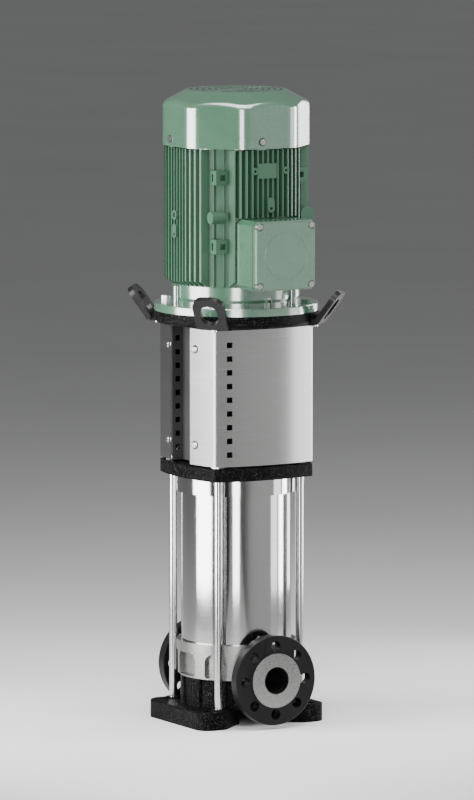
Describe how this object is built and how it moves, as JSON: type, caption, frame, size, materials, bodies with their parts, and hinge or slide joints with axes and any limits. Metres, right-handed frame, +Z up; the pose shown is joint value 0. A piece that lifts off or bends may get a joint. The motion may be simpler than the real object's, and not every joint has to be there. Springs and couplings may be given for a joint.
{
  "type": "vertical multistage pump",
  "caption": "Vertical inline multistage pump: lobed foot, flanged nozzles, sleeve with tie rods, guarded coupling and finned flange motor.",
  "frame": {"origin": "on the pump axis at the underside of the foot, the centre of the foot bolt pattern", "axes": "+Z up along the shaft, Y along the two nozzles, the terminal box on the -Y side"},
  "size_m": [0.3148, 0.3394, 1.1585],
  "materials": {
    "black_casting": "coated rough casting, black",
    "black_paint": "satin black coating",
    "stainless_casting": "pickled stainless casting, fine satin",
    "stainless_sheet": "brushed stainless sheet",
    "stainless_bar": "turned stainless bar",
    "zinc_steel": "zinc plated",
    "motor_paint": "sage green gloss coating",
    "black_plastic": "glass-filled plastic, black",
    "rubber_seal": "seal rubber",
    "carbon": "carbon ceramic",
    "core_steel": "stacked sheet steel",
    "copper_winding": "enamelled copper",
    "bearing_steel": "ground steel",
    "coupling_iron": "machined cast iron"
  },
  "bodies": {
    "frame": {"base_foot": "black_casting", "pump_housing": "stainless_casting", "bottom_bush": "carbon", "outer_sleeve": "stainless_sheet", "sleeve_seals": "rubber_seal", "discharge_spider": "stainless_sheet", "pump_head": "stainless_casting", "vent_plug": "stainless_bar", "drain_plug": "stainless_bar", "seal_gland": "stainless_bar", "seal_gland_screws": "stainless_bar", "seal_seat": "carbon", "tie_rods": "stainless_bar", "tie_rod_nuts": "zinc_steel", "lantern": "black_casting", "front_coupling_guard": "stainless_sheet", "rear_coupling_guard": "stainless_sheet", "right_inner_guard": "black_paint", "left_inner_guard": "black_paint", "guard_screws": "stainless_bar", "lifting_lugs": "black_paint", "lifting_lug_screws": "zinc_steel", "motor_flange": "motor_paint", "motor_flange_bolts": "motor_paint", "motor_housing": "motor_paint", "stator_core": "core_steel", "stator_winding": "copper_winding", "bearing_outer_rings": "bearing_steel", "rear_end_shield": "motor_paint", "fan_cover": "motor_paint", "fan_cover_screws": "motor_paint", "terminal_box": "motor_paint", "blanking_plugs": "black_plastic", "terminal_gasket": "rubber_seal", "terminal_lid": "motor_paint", "terminal_lid_screws": "motor_paint", "terminal_board": "black_plastic", "stage_casing_1": "stainless_sheet", "stage_casing_2": "stainless_sheet", "stage_casing_3": "stainless_sheet", "stage_casing_4": "stainless_sheet", "stage_casing_5": "stainless_sheet"},
    "rotor": {"motor_shaft": "bearing_steel", "rotor_core": "core_steel", "bearing_inner_rings": "bearing_steel", "bearing_balls": "bearing_steel", "cooling_fan": "black_plastic", "coupling_halves": "coupling_iron", "coupling_screws": "zinc_steel", "pump_shaft": "stainless_bar", "shaft_nut": "stainless_bar", "seal_head": "stainless_bar", "impeller_1": "stainless_sheet", "impeller_2": "stainless_sheet", "impeller_3": "stainless_sheet", "impeller_4": "stainless_sheet", "impeller_5": "stainless_sheet"},
    "suction_ring": {"suction_flange_ring": "black_paint"},
    "discharge_ring": {"discharge_flange_ring": "black_paint"}
  },
  "joints": [
    {"name": "shaft_spin", "type": "hinge", "parent": "frame", "child": "rotor", "pos_m": [0, 0, 0.7], "axis": [0, 0, 1], "continuous": true},
    {"name": "suction_ring_turn", "type": "hinge", "parent": "frame", "child": "suction_ring", "pos_m": [0, -0.137, 0.09], "axis": [0, 1, 0], "continuous": true},
    {"name": "discharge_ring_turn", "type": "hinge", "parent": "frame", "child": "discharge_ring", "pos_m": [0, 0.137, 0.09], "axis": [0, 1, 0], "continuous": true}
  ]
}
